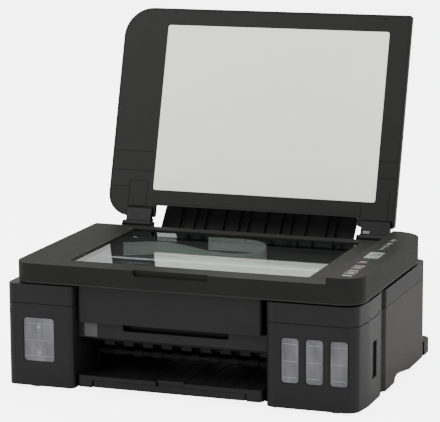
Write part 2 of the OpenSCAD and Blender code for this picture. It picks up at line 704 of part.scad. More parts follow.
pocket_x0 = -58;
pocket_x1 = 36;
module scanner_top_frame() color(charcoal) in_frame() difference() {
    union() {
        top_frame();
        // ears that carry the document cover's hinge arms
        for (a = hinge_arms, x = [a[0] - 2.6, a[1] + 0.9]) {
            rod_x(x, x + ear_t, hinge_y, hinge_z, 4);
            box([x, hinge_y - 5, rear_bar_z], [x + ear_t, hinge_y + 1.7, hinge_z]);
        }
    }
    for (a = hinge_arms) rod_x(a[0] - 3, a[1] + 3, hinge_y, hinge_z, 2 + fit);
}
ear_t = 1.7;
module top_frame() difference() {
    union() {
        scan_wall(0, 2.2, scan_z0 + 2.2, bezel_z);
        translate([0, 0, bezel_z - 1.8]) linear_extrude(1.8) scan_plan();
        // backing of the finger pocket
        box([pocket_x0 - 3, 1, 144.6], [pocket_x1 + 3, 7.5, bezel_z - 1]);
        // rounded bar behind the glass
        translate([0, 0, rear_bar_z]) linear_extrude(bezel_z - 1.4 - rear_bar_z) difference() {
            scan_plan(2);
            translate([-300, -10]) square([600, 260]);
        }
    }
    plan_hole = 1.5;
    block(glass_x0, glass_y0, glass_x1, glass_y1, 140, 170, [plan_hole, plan_hole, plan_hole, plan_hole]);
    face_slab(pocket_x0, 147.6, pocket_x1, 170, -1, 5, 4);
    rear_slope(half_w + 5);
    panel_side(0.3);
    // sockets of the document cover's hinge arms
    for (x = hinge_arms) box([x[0] - 1, arm_y - 2, 146], [x[1] + 1, 300, 160]);
    for (x = lift_lugs) box([x - 0.4, lift_y - 3.2, lift_z], [x + lug_w + 0.4, lift_y + 4, lift_z + 3.3]);
}

module platen_glass() color([0.75, 0.85, 0.85, 0.4]) in_frame()
    box([glass_x0 - 4, glass_y0 - 5, 150.2], [glass_x1 + 4, glass_y1 + 4.6, bezel_z - 1.9]);

bar_x0 = -199;
bar_x1 = -184;
module scan_bar() color([0.07, 0.07, 0.08]) in_frame() difference() {
    union() {
        box([bar_x0, 26, 141], [bar_x1, 249, 149]);
        box([bar_x0 - 4, scan_rail_y - 12, 134.4], [bar_x1 + 4, scan_rail_y + 12, 143]);
    }
    rod_x(bar_x0 - 10, bar_x1 + 10, scan_rail_y, scan_rail_z, 2.5 + fit);
    box([bar_x0 + 4, 30, 148.4], [bar_x1 - 4, 245, 150]);
}
module scan_rail() color(steel) in_frame() rod_x(-209.7, 213.9, scan_rail_y, scan_rail_z, 2.5);

// Flat ribbon standing on its edge, with one turn at its right end
ribbon_t = 0.5;
ribbon_z0 = 133.5;
ribbon_z1 = 139.5;
ribbon_r = 34.25;
ribbon_x = 10;
module scan_ribbon() color([0.72, 0.72, 0.72]) in_frame() translate([0, 206.25, ribbon_z0])
    linear_extrude(ribbon_z1 - ribbon_z0) {
        translate([-130, -ribbon_r]) square([130 + ribbon_x, ribbon_t]);
        translate([-50, ribbon_r - ribbon_t]) square([50 + ribbon_x, ribbon_t]);
        translate([ribbon_x, 0]) difference() {
            circle(ribbon_r);
            circle(ribbon_r - ribbon_t);
            translate([-40, -40]) square([40, 80]);
        }
    }

// ---------- control panel ----------

module panel_plan(t = 0) intersection() {
    scan_plan(t);
    translate([panel_x + t, -1]) square([100, 400]);
}
module control_panel() color(charcoal) in_frame() difference() {
    union() {
        translate([0, 0, panel_z - 2]) linear_extrude(2) panel_plan();
        translate([0, 0, bezel_z + 0.2]) linear_extrude(panel_z - bezel_z - 0.2) difference() {
            panel_plan();
            panel_plan(2.2);
        }
        // side below the panel, behind the front skirt
        intersection() {
            scan_wall(0, 2.2, scan_z0 + 2.2, panel_z);
            box([panel_x, crease_y, 100], [half_w + 1, scan_d + 1, 200]);
        }
    }
    for (b = buttons) button_shape(b, 0.3, 150, 170);
    box([lcd_x0 - 0.2, lcd_y0 - 0.2, 150], [lcd_x1 + 0.2, lcd_y1 + 0.2, 170]);
}

lcd_x0 = 190;
lcd_x1 = 209;
lcd_y0 = 121;
lcd_y1 = 160;
module lcd_display() color([0.62, 0.68, 0.62]) in_frame()
    box([lcd_x0, lcd_y0, panel_z - 2.4], [lcd_x1, lcd_y1, panel_z - 0.5]);

// Buttons: middle x, middle y, width, depth
buttons = [[197.5, 229, 13, 9], [198.5, 206, 11, 9], [198.5, 187, 9, 8], [198.2, 173, 9, 8],
    [198, 91.5, 13, 7], [200.5, 62, 14, 15], [201.5, 32, 15, 21]];
button_travel = 0.8;
button_top = panel_z + 0.3;
module button_shape(b, grow, z0, z1)
    block(b[0] - b[2] / 2 - grow, b[1] - b[3] / 2 - grow, b[0] + b[2] / 2 + grow,
        b[1] + b[3] / 2 + grow, z0, z1, [2 + grow, 2 + grow, 2 + grow, 2 + grow]);
module button(k) color([0.2, 0.2, 0.21]) in_frame() button_shape(buttons[k], 0, panel_z - 3.6, button_top);
module power_button() button(0);
module menu_button() button(1);
module plus_button() button(2);
module minus_button() button(3);
module stop_button() button(4);
module black_copy_button() button(5);
module colour_copy_button() button(6);

// ---------- document cover ----------

// Turns parts drawn closed to where the cover stands open
module opened() translate([0, hinge_y, hinge_z]) rotate([-open_deg, 0, 0])
    translate([0, -hinge_y, -hinge_z]) children();

// The cover reaches further back at its ends, round the hinge arms, than in its middle
cover_ear_x = [-146, 131];
cover_ear_y = [281, 277];
module cover_plan(t = 0) {
    plan_in(cover_x0, cover_gap, cover_x1, cover_back, [40, 3, 0, 30], t);
    plan_in(cover_x0, cover_back - 60, cover_ear_x[0], cover_ear_y[0], [0, 0, 3, 30], t);
    plan_in(cover_ear_x[1], cover_back - 60, cover_x1, cover_ear_y[1], [0, 0, 5, 3], t);
}
hinge_arms = [[-185, -147], [136, 178]];
arm_y = 268;             // where the arms' blocks start, with the cover closed
module document_cover() color(charcoal) in_frame() opened() difference() {
    translate([0, 0, cover_in_z - 0.2]) linear_extrude(cover_out_z - cover_in_z + 0.2) cover_plan();
    translate([0, 0, cover_in_z - 1]) linear_extrude(4) cover_plan(2);
    for (x = hinge_arms) box([x[0] + 1, arm_y - 4, cover_in_z - 1], [x[1] - 1, 285, cover_in_z + 2.9]);
}
module cover_liner() color([0.2, 0.2, 0.21]) in_frame() opened() difference() {
    translate([0, 0, cover_in_z]) linear_extrude(2.2) cover_plan(2.2);
    translate([0, 0, cover_in_z - 1]) linear_extrude(1.6)
        plan(pad_x0 - 0.3, pad_y0 - 0.3, pad_x1 + 0.3, pad_y1 + 0.3, [4, 4, 4, 4]);
    for (x = hinge_arms) box([x[0] + 1, arm_y - 0.3, cover_in_z - 1], [x[1] - 1, 285, cover_in_z + 4]);
}
pad_x0 = -151;
pad_x1 = 152.4;
pad_y0 = 24.1;
pad_y1 = 245.1;
module pressure_pad() color([0.85, 0.85, 0.83]) in_frame() opened()
    translate([0, 0, cover_in_z - 1]) linear_extrude(1.6) plan(pad_x0, pad_y0, pad_x1, pad_y1, [3, 3, 3, 3]);

// Two arms from the liner to the hinge, each with pips in the scanner's rear edge
module cover_hinge_arms() color(charcoal) in_frame() opened() for (x = hinge_arms) {
    translate([x[0] + 2, 0, 0]) rotate([90, 0, 90]) linear_extrude(x[1] - x[0] - 4)
        polygon([[arm_y, cover_in_z + 2.5], [arm_y, cover_in_z - 0.3], [arm_y + 3, cover_in_z - 4.3],
            [hinge_y - 4.6, hinge_z - 2.4], [hinge_y, hinge_z], [hinge_y, hinge_z + 4.6],
            [288, 161], [283.5, 162.5], [282.4, cover_in_z + 2.5]]);
    rod_x(x[0] + 0.6, x[1] - 0.6, hinge_y, hinge_z, 4.6);
    rod_x(x[0] - 2.6, x[1] + 2.6, hinge_y, hinge_z, 2);
}

base_case();
rubber_feet();
left_side_cover();
right_side_cover();
rear_cover();
upper_frame();
left_tank_housing();
right_tank_housing();
left_tank_cover();
right_tank_cover();
tank_windows();
ink_tanks();
tank_caps();
front_panel();
front_strip();
output_tray();
output_tray_extension();
star_wheel_holder();
star_wheels();
eject_roller();
feed_roller();
platen();
pickup_roller();
drive_motors();
motor_pinion();
paper_drive_belt();
carriage();
print_heads();
chassis_frame();
timing_belt();
drive_pulley();
ink_tubes();
maintenance_unit();
main_board();
power_supply();
rear_sockets();
paper_support();
paper_support_extension();
left_paper_guide();
right_paper_guide();
feed_slot_cover();
scanner_lower_case();
scanner_top_frame();
platen_glass();
scan_bar();
scan_rail();
scan_ribbon();
control_panel();
lcd_display();
power_button();
menu_button();
plus_button();
minus_button();
stop_button();
black_copy_button();
colour_copy_button();
document_cover();
cover_liner();
pressure_pad();
cover_hinge_arms();
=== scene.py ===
"""Looks of the inkjet printer: materials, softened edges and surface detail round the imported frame."""
import json
import math

import bmesh
import bpy
from mathutils import Matrix, Vector


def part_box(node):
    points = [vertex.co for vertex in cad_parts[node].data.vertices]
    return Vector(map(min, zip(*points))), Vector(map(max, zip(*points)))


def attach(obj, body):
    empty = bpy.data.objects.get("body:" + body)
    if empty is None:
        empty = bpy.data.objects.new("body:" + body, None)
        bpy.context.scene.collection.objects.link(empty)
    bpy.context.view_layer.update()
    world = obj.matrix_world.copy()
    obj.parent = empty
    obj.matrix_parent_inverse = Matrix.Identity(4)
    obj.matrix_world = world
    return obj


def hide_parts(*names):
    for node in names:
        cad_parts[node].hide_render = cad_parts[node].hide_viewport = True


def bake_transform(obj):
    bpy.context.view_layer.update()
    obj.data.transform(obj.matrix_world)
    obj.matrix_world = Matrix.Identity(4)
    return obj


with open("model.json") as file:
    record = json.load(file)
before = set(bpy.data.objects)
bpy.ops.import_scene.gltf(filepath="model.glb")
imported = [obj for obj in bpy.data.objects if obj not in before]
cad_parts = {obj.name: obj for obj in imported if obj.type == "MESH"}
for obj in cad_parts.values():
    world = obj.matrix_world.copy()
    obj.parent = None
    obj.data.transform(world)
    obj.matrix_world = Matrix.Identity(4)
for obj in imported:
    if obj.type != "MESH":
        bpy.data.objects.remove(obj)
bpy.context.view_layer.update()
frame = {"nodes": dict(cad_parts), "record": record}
nodes = frame["nodes"]
MM = 0.001


# ---------- materials ----------

GRAIN_HEIGHT = 0.00012        # metres, as is every length handed to Blender itself
SCRATCH_HEIGHT = 0.00005


class Nodes:
    """A material's node tree, with short calls for what the finishes here use."""

    def __init__(self, name):
        self.material = bpy.data.materials.new(name)
        self.material.use_nodes = True
        self.tree = self.material.node_tree
        self.shader = self.tree.nodes["Principled BSDF"]
        self.point = self.tree.nodes.new("ShaderNodeTexCoord").outputs["Object"]

    def add(self, kind, inputs=(), **settings):
        node = self.tree.nodes.new("ShaderNode" + kind)
        for key, value in settings.items():
            setattr(node, key, value)
        for key, value in dict(inputs).items():
            self.put(node.inputs[key], value)
        return node

    def put(self, socket, value):
        if hasattr(value, "links"):
            self.tree.links.new(value, socket)
        else:
            socket.default_value = value

    def noise(self, scale, detail=3.0):
        node = self.add("TexNoise", {"Vector": self.point, "Scale": scale, "Detail": detail})
        return node.outputs[0]

    def span(self, value, low, high, start=0.3, end=0.7):
        node = self.add("MapRange", {"Value": value, "From Min": start, "From Max": end,
                                     "To Min": low, "To Max": high})
        return node.outputs[0]

    def mix(self, factor, first, second):
        node = self.add("Mix", data_type="RGBA")
        self.put(node.inputs[0], factor)
        self.put(node.inputs[6], first)
        self.put(node.inputs[7], second)
        return node.outputs[2]

    def bump(self, height, strength, distance):
        node = self.add("Bump", {"Height": height, "Strength": strength, "Distance": distance})
        self.put(self.shader.inputs["Normal"], node.outputs[0])

    def set(self, **values):
        for key, value in values.items():
            self.put(self.shader.inputs[key.replace("_", " ")], value)


def rgb(r, g, b):
    return (r, g, b, 1.0)


def shade(colour, factor):
    return tuple(min(1.0, factor * c) for c in colour[:3]) + (1.0,)


def plastic(name, colour, rough=0.5, grain=900.0, depth=0.35, gloss=0.18, drift_by=0.12):
    """Moulded plastic: an even spark-eroded grain, and a faint drift in tone and gloss."""
    n = Nodes(name)
    drift = n.noise(14.0, 4.0)
    fine = n.noise(grain, 2.0)
    dark, light = shade(colour, 1.0 - drift_by), shade(colour, 1.0 + drift_by)
    n.set(Base_Color=n.mix(n.span(drift, 0.0, 1.0), dark, light),
          Roughness=n.span(fine, rough - 0.06, rough + 0.08), Specular_IOR_Level=gloss)
    n.bump(fine, depth, GRAIN_HEIGHT)
    return n.material


def metal(name, colour, rough=0.35):
    """Rolled or ground steel, with fine scratches along X."""
    n = Nodes(name)
    stretched = n.add("Mapping", {"Vector": n.point, "Scale": (20.0, 900.0, 900.0)}).outputs[0]
    lines = n.add("TexNoise", {"Vector": stretched, "Scale": 1.0, "Detail": 3.0}).outputs[0]
    n.set(Base_Color=n.mix(n.span(n.noise(30.0), 0.0, 1.0), shade(colour, 0.82), colour),
          Roughness=n.span(lines, rough - 0.08, rough + 0.12), Metallic=1.0)
    n.bump(lines, 0.2, SCRATCH_HEIGHT)
    return n.material


def clear(name, tint, opacity, rough=0.05):
    """Clear or milky moulding that lets light through."""
    n = Nodes(name)
    cloud = n.noise(60.0)
    n.set(Base_Color=n.mix(n.span(cloud, 0.0, 1.0), shade(tint, 0.92), tint),
          Roughness=n.span(cloud, rough, rough + 0.05), Alpha=opacity, IOR=1.45)
    return n.material


def striped(name, base, line, pitch, width, axis, rough=0.4, gloss=0.5):
    """A sheet printed with even lines across one axis, such as a flat cable's tracks."""
    n = Nodes(name)
    place = n.add("SeparateXYZ", {"Vector": n.point}).outputs[axis]
    phase = n.add("Math", {0: place, 1: pitch}, operation="MODULO").outputs[0]
    size = n.add("Math", {0: phase}, operation="ABSOLUTE").outputs[0]
    on = n.add("Math", {0: size, 1: width}, operation="LESS_THAN").outputs[0]
    n.set(Base_Color=n.mix(on, base, line),
          Roughness=n.span(n.noise(80.0), rough - 0.05, rough + 0.08),
          Specular_IOR_Level=gloss)
    return n.material


M = {
    "front": plastic("front_plastic", rgb(0.0105, 0.0105, 0.011), 0.42),
    "panel": plastic("front_panel_plastic", rgb(0.0105, 0.0105, 0.011), 0.38),
    "side": plastic("side_plastic", rgb(0.021, 0.0195, 0.018), 0.50),
    "inner": plastic("inner_plastic", rgb(0.004, 0.004, 0.0045), 0.48, gloss=0.2),
    "liner": plastic("liner_plastic", rgb(0.0095, 0.0093, 0.009), 0.46),
    "bezel": plastic("bezel_plastic", rgb(0.0110, 0.0108, 0.0106), 0.56, gloss=0.12),
    "rubber": plastic("foot_rubber", rgb(0.010, 0.010, 0.010), 0.75),
    "grip": plastic("roller_rubber", rgb(0.02, 0.02, 0.022), 0.7, grain=1500.0, depth=0.6),
    "belt": plastic("belt_rubber", rgb(0.008, 0.008, 0.008), 0.6),
    "key": plastic("key_plastic", rgb(0.020, 0.020, 0.021), 0.34),
    "gear": plastic("gear_plastic", rgb(0.72, 0.69, 0.6), 0.45),
    "board": plastic("board_lacquer", rgb(0.02, 0.12, 0.06), 0.35, grain=400.0),
    "pad": plastic("pad_sheet", rgb(0.93, 0.935, 0.86), 0.6, grain=500.0, depth=0.1, gloss=0.2,
                   drift_by=0.012),
    "grey_part": plastic("hinge_spring_cap", rgb(0.20, 0.20, 0.195), 0.45),
    "label": plastic("blank_label", rgb(0.065, 0.065, 0.065), 0.5, grain=300.0, depth=0.1),
    "steel": metal("rolled_steel", rgb(0.55, 0.56, 0.58)),
    # Painted shade: the star wheels sit in the shaded output opening, so their steel is painted near-black
    "painted_shade_steel": metal("steel_darkened_as_painted_shade", rgb(0.05, 0.05, 0.052), 0.5),
    "tank": clear("tank_plastic", rgb(0.30, 0.30, 0.35), 0.82, 0.3),
    "tube": clear("tube_plastic", rgb(0.6, 0.6, 0.66), 0.6, 0.25),
    "mark": plastic("print_white", rgb(0.42, 0.42, 0.42), 0.5),
    "mark_grey": plastic("print_grey", rgb(0.12, 0.12, 0.12), 0.5),
    # Near-black: painted shade for the steps round the windows and the screw slots, and the own dark colour
    # of the display segments and the cover's joint lines
    "groove": plastic("groove_shadow", rgb(0.004, 0.004, 0.004), 0.6, gloss=0.1),
    "mark_red": plastic("print_red", rgb(0.50, 0.07, 0.03), 0.45),
    "lamp": plastic("indicator_lens", rgb(0.10, 0.28, 0.14), 0.2),
    "lcd": striped("display_face", rgb(0.20, 0.24, 0.19), rgb(0.17, 0.21, 0.165), pitch=0.0016, width=0.0004,
                   axis=1, rough=0.25),
    "ribbon": striped("ribbon_film", rgb(0.74, 0.73, 0.70), rgb(0.40, 0.50, 0.48), pitch=0.0026, width=0.0009,
                      axis=2, rough=0.35),
    "level": plastic("level_ridge", rgb(0.22, 0.22, 0.25), 0.4),
    "band": plastic("window_band", rgb(0.135, 0.135, 0.15), 0.35),
    "arm": plastic("hinge_arm_plastic", rgb(0.0055, 0.0055, 0.0056), 0.45),
}


def window_material():
    """Smoky moulded window, a little uneven from side to side where the tank behind it shows."""
    n = Nodes("window_plastic")
    streaks = n.add("Mapping", {"Vector": n.point, "Scale": (60.0, 60.0, 22.0)}).outputs[0]
    cloud = n.add("TexNoise", {"Vector": streaks, "Scale": 1.0, "Detail": 2.0}).outputs[0]
    n.set(Base_Color=n.mix(n.span(cloud, 0.0, 1.0), rgb(0.050, 0.050, 0.058),
                           rgb(0.135, 0.135, 0.15)),
          Roughness=n.span(cloud, 0.16, 0.24), Specular_IOR_Level=0.4)
    return n.material


def glass_material():
    """Plain float glass: clear when seen from above, and more of a mirror the flatter it is seen."""
    n = Nodes("document_glass")
    through = n.add("BsdfTransparent", {"Color": rgb(0.86, 0.90, 0.89)})
    mirror = n.add("BsdfGlossy", {"Color": rgb(0.90, 0.92, 0.92),
                                  "Roughness": n.span(n.noise(8.0), 0.0, 0.004)})
    share = n.add("LayerWeight", {"Blend": 0.15})      # the same on both faces of the sheet
    blend = n.add("MixShader", {0: share.outputs["Facing"], 1: through.outputs[0], 2: mirror.outputs[0]})
    n.put(n.tree.nodes["Material Output"].inputs["Surface"], blend.outputs[0])
    n.tree.nodes.remove(n.shader)
    return n.material


M["window"] = window_material()
M["glass"] = glass_material()

FINISH = {
    "front": "left_tank_housing right_tank_housing left_tank_cover right_tank_cover front_strip output_tray"
             " output_tray_extension document_cover",
    "panel": "front_panel",
    "bezel": "scanner_top_frame control_panel",
    "side": "left_side_cover right_side_cover rear_cover scanner_lower_case feed_slot_cover",
    "arm": "cover_hinge_arms",
    "liner": "cover_liner",
    "inner": "base_case upper_frame star_wheel_holder platen carriage print_heads maintenance_unit"
             " power_supply rear_sockets paper_support paper_support_extension left_paper_guide"
             " right_paper_guide scan_bar",
    "rubber": "rubber_feet tank_caps",
    "grip": "eject_roller pickup_roller",
    "belt": "paper_drive_belt timing_belt",
    "gear": "motor_pinion drive_pulley",
    "steel": "feed_roller drive_motors chassis_frame scan_rail",
    # Star wheels: steel painted near-black as the shade of the output opening
    "painted_shade_steel": "star_wheels",
    "board": "main_board",
    "window": "tank_windows",
    "tank": "ink_tanks",
    "tube": "ink_tubes",
    "pad": "pressure_pad",
    "glass": "platen_glass",
    "lcd": "lcd_display",
    "ribbon": "scan_ribbon",
    "key": "power_button menu_button plus_button minus_button stop_button black_copy_button"
           " colour_copy_button",
}
for finish, names in FINISH.items():
    for name in names.split():
        nodes[name].data.materials.clear()
        nodes[name].data.materials.append(M[finish])


# ---------- softened edges on the CAD nodes ----------

WELD_WITHIN = 0.00002
FLAT_WITHIN = math.radians(0.6)
SHARP_FROM = math.radians(38)


def soften(name, width):
    """Small moulded radii on a CAD node's edges, as modifiers, so that its mesh stays as packed."""
    obj = nodes[name]
    for polygon in obj.data.polygons:
        polygon.use_smooth = True
    weld = obj.modifiers.new("weld", "WELD")
    weld.merge_threshold = WELD_WITHIN
    flat = obj.modifiers.new("flatten", "DECIMATE")
    flat.decimate_type = "DISSOLVE"
    flat.angle_limit = FLAT_WITHIN
    bevel = obj.modifiers.new("radius", "BEVEL")
    bevel.width = width
    bevel.segments = 3
    bevel.limit_method = "ANGLE"
    bevel.angle_limit = SHARP_FROM
    bevel.harden_normals = True
    bevel.use_clamp_overlap = True
    normals = obj.modifiers.new("normals", "WEIGHTED_NORMAL")
    normals.keep_sharp = True


EDGES = {
    0.0012: "left_tank_housing right_tank_housing left_tank_cover right_tank_cover front_panel"
            " output_tray document_cover scanner_top_frame control_panel cover_hinge_arms",
    0.0008: "front_strip left_side_cover right_side_cover cover_liner output_tray_extension",
    0.0004: "paper_support feed_slot_cover scan_bar pressure_pad upper_frame rear_cover"
            " power_button menu_button plus_button minus_button stop_button black_copy_button"
            " colour_copy_button left_paper_guide right_paper_guide star_wheel_holder rubber_feet carriage",
}
for width, names in EDGES.items():
    for name in names.split():
        soften(name, width)


# ---------- places and flat shapes for the small pieces ----------

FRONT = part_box("left_tank_housing")[0][1]        # the plane of the tower fronts
JOINTS = {joint["name"]: joint for joint in frame["record"]["behaviour"]["joints"]}
COVER_AXIS = Vector(JOINTS["document_cover_hinge"]["pos_m"])
COVER_OPEN = math.radians(JOINTS["document_cover_hinge"]["range_deg"][1])

# Heights above the floor and distances back from the tower fronts, in mm
PANEL_TOP = 163.2
DISPLAY_TOP = 162.7
BEZEL_TOP = 155.0
COVER_FACE = 156.3            # the cover's inner face, when it is closed
RIM_PLANE = 0.74
WINDOW_FACE = 0.9
BACK_FACE = 296.6
SCREW_HEAD = 0.7

# Each window's middle across, its width, and how wide its level lines are
WINDOWS = ((-180.7, 39.0, 31.0), (137.8, 20.8, 16.0), (167.65, 20.7, 16.0), (197.4, 20.8, 16.0))
BLACK_WINDOW_X = WINDOWS[0][0]
WINDOW_HEIGHT = 53.5
WINDOW_MIDDLE = 61.25
WINDOW_RADIUS = 4.0

# Right and up along each kind of face; its normal is right x up
FACES = {
    "front": (Vector((1, 0, 0)), Vector((0, 0, 1))),
    "back": (Vector((-1, 0, 0)), Vector((0, 0, 1))),
    "top": (Vector((1, 0, 0)), Vector((0, 1, 0))),
    "under": (Vector((1, 0, 0)), Vector((0, -1, 0))),
}


def on(face, x, y, z):
    """Plane of a shape on a face, at a place in mm measured back from the tower fronts."""
    right, up = FACES[face]
    plane = Matrix((right, up, right.cross(up))).transposed().to_4x4()
    plane.translation = Vector((x * MM, FRONT + y * MM, z * MM))
    return plane


def on_cover(x, y, z=COVER_FACE):
    """The same on the inner face of the document cover, given closed and turned to where it stands."""
    turn = Matrix.Rotation(-COVER_OPEN, 4, "X")
    opened = Matrix.Translation(COVER_AXIS) @ turn @ Matrix.Translation(-COVER_AXIS)
    return opened @ on("under", x, y, z)


def rounded(width, height, radius=0.2, steps=4):
    """Outline of a rectangle with round corners."""
    points = []
    for corner, (side, end) in enumerate(((1, 1), (-1, 1), (-1, -1), (1, -1))):
        for step in range(steps + 1):
            angle = math.radians(90 * corner + 90 * step / steps)
            points.append((side * (width / 2 - radius) + radius * math.cos(angle),
                           end * (height / 2 - radius) + radius * math.sin(angle)))
    return points


def disc(radius, steps=28):
    return [(radius * math.cos(math.tau * k / steps), radius * math.sin(math.tau * k / steps))
            for k in range(steps)]


def arc(radius, start, end, width, steps=16):
    """Outline of part of a ring, between two angles in degrees."""
    angles = [math.radians(start + (end - start) * k / steps) for k in range(steps + 1)]
    far, near = radius + width / 2, radius - width / 2
    return ([(far * math.cos(a), far * math.sin(a)) for a in angles]
            + [(near * math.cos(a), near * math.sin(a)) for a in reversed(angles)])


def moved(outline, x, y):
    return [(px + x, py + y) for px, py in outline]


def smooth_path(points, steps=8):
    """A smooth curve through all the points (Catmull-Rom)."""
    last = len(points) - 1
    curve = []
    for k in range(last):
        before, start, end, after = (Vector(points[min(max(k + shift, 0), last)])
                                     for shift in (-1, 0, 1, 2))
        for step in range(steps):
            t = step / steps
            curve.append(0.5 * (2 * start + (end - before) * t
                                + (2 * before - 5 * start + 4 * end - after) * t * t
                                + (3 * start - before - 3 * end + after) * t ** 3))
    curve.append(Vector(points[-1]))
    return curve


def mesh_piece(name, mesh, finish):
    """The finished mesh as an object with its material."""
    data = bpy.data.meshes.new(name)
    mesh.to_mesh(data)
    mesh.free()
    data.materials.append(M[finish])
    piece = bpy.data.objects.new(name, data)
    bpy.context.scene.collection.objects.link(piece)
    return piece


def build(name, shapes, thick, finish, body, edge=0.0):
    """One piece made of flat shapes, each an outline in mm and the plane it stands on."""
    mesh = bmesh.new()
    for outline, plane in shapes:
        low, high = ([mesh.verts.new(plane @ Vector((x * MM, y * MM, level))) for x, y in outline]
                     for level in (0.0, thick * MM))
        mesh.faces.new(list(reversed(low)))
        mesh.faces.new(high)
        for k in range(len(low)):
            mesh.faces.new((low[k - 1], low[k], high[k], high[k - 1]))
    piece = mesh_piece(name, mesh, finish)
    if edge:
        bevel = piece.modifiers.new("radius", "BEVEL")
        bevel.width = edge * MM
        bevel.segments = 2
        bevel.angle_limit = math.radians(50)
    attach(piece, body)


# ---------- towers and front strip ----------

def window_rims():
    """Step round each window, as closed rings, coloured near-black as painted shade of the step."""
    corners = ((1.3, -0.64), (1.3, -0.02), (-0.1, -0.02), (-0.1, -0.64))     # outward, forward
    mesh = bmesh.new()
    for x, width, _ in WINDOWS:
        plane = on("front", x, RIM_PLANE, WINDOW_MIDDLE)
        loops = []
        for grow, forward in corners:
            outline = rounded(width + 2 * grow, WINDOW_HEIGHT + 2 * grow, WINDOW_RADIUS + grow, 8)
            loops.append([mesh.verts.new(plane @ Vector((px * MM, py * MM, forward * MM)))
                          for px, py in outline])
        for first, second in zip(loops, loops[1:] + loops[:1]):
            for k in range(len(first)):
                mesh.faces.new((first[k - 1], first[k], second[k], second[k - 1]))
    bmesh.ops.recalc_face_normals(mesh, faces=mesh.faces)
    # Painted shade: the rings are near-black where the step round each window falls in shade
    rims = mesh_piece("window_rims", mesh, "groove")
    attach(rims, "base")


def window_marks():
    """Level lines moulded across each window, and the band with two arrows on the left one."""
    shapes = [(rounded(line, 0.7), on("front", x, WINDOW_FACE, z))
              for x, _, line in WINDOWS for z in (81.0, 60.5, 41.0)]
    up_arrow = [(-3.4, -2.4), (3.4, -2.4), (0.0, 2.8)]
    down_arrow = [(3.4, 2.4), (-3.4, 2.4), (0.0, -2.8)]
    shapes += [(up_arrow, on("front", BLACK_WINDOW_X, WINDOW_FACE, 77.5)),
               (down_arrow, on("front", BLACK_WINDOW_X, WINDOW_FACE, 44.5))]
    band = (rounded(5.0, 44.0, 1.0), on("front", BLACK_WINDOW_X, WINDOW_FACE, 61.0))
    build("window_band", [band], 0.12, "band", "base")
    build("window_level_marks", shapes, 0.25, "level", "base")


def front_label():
    """The plain sticker at the left of the front strip."""
    sticker = (rounded(16.5, 16.5, 1.2), on("front", -119.2, 16.5, 75.0))
    build("blank_label", [sticker], 0.3, "label", "base", 0.1)


# ---------- control panel ----------

def panel_marks():
    """Plain bars where the real panel has words, and the lamp."""
    bars = [(201.5, 17.6, 12.0, 2.4), (200.5, 47.5, 12.0, 2.4), (200.5, 74.0, 13.0, 2.2),
            (198.0, 99.0, 8.0, 1.8), (198.3, 180.0, 4.0, 1.4), (198.5, 196.5, 7.0, 1.6),
            (198.5, 215.0, 7.0, 1.6), (197.5, 237.0, 5.0, 1.4)]
    shapes = [(rounded(width, height), on("top", x, y, PANEL_TOP)) for x, y, width, height in bars]
    build("panel_label_bars", shapes, 0.08, "mark", "scanner_unit")
    lens = (disc(1.1), on("top", 199.0, 115.0, PANEL_TOP))
    build("indicator_lens", [lens], 0.25, "lamp", "scanner_unit", 0.08)


def display_marks():
    """Dark segments of the display: two digits and a row of symbols."""
    digit = [moved(rounded(3.6, 1.0), 0, y) for y in (-5.0, 0.0, 5.0)]
    digit += [moved(rounded(1.0, 4.2), 1.9, 2.5), moved(rounded(1.0, 4.2), -1.9, -2.5)]
    shapes = [(outline, on("top", x, 141.0, DISPLAY_TOP)) for x in (196.5, 203.0) for outline in digit]
    shapes += [(rounded(2.6, 1.6), on("top", x, 126.5, DISPLAY_TOP)) for x in (194.0, 199.5, 205.0)]
    build("display_segments", shapes, 0.06, "groove", "scanner_unit")


def key_mark(button, glyph, finish="mark"):
    """A sign printed on the middle of a button's top, which goes down with it."""
    low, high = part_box(button)
    plane = Matrix.Translation(((low[0] + high[0]) / 2, (low[1] + high[1]) / 2, high[2]))
    build(button + "_mark", [(outline, plane) for outline in glyph], 0.08, finish, button)


def key_marks():
    """Simple signs of this file's own, none of them taken from the real panel."""
    sheet = [rounded(4.6, 0.6), moved(rounded(4.6, 0.6), 0, 5.4), moved(rounded(0.6, 5.6), -2.3, 2.7),
             moved(rounded(0.6, 5.6), 2.3, 2.7)]
    key_mark("power_button", [arc(2.0, 120, 420, 0.6), moved(rounded(0.6, 2.4), 0, 1.6)])
    key_mark("menu_button", [moved(rounded(4.4, 0.6), 0, y) for y in (-1.4, 0.0, 1.4)])
    key_mark("plus_button", [rounded(3.6, 0.7)] + [moved(rounded(0.7, 1.5), 0, y) for y in (1.1, -1.1)])
    key_mark("minus_button", [rounded(3.6, 0.7)])
    key_mark("stop_button", [[(-2.2, -1.6), (2.2, -1.6), (0.0, 2.0)]], "mark_red")
    key_mark("black_copy_button", [moved(outline, 0, -2.7) for outline in sheet])
    key_mark("colour_copy_button", [moved(outline, 0, -2.7) for outline in sheet]
             + [moved(rounded(3.0, 0.6), 0, y) for y in (4.6, 5.8)])


# ---------- scanner unit ----------

def bezel_marks():
    """Paper size ticks beside the glass, and the corner arrow."""
    beside = -156.5
    shapes = [(rounded(3.0, 0.6), on("top", beside, y, BEZEL_TOP)) for y in (62.0, 96.0, 140.0, 197.0)]
    arrow = [(-1.6, -1.6), (1.8, 1.8), (-1.6, 1.8)]
    shapes.append((arrow, on("top", beside, 240.0, BEZEL_TOP)))
    build("bezel_ticks", shapes, 0.06, "mark_grey", "scanner_unit")


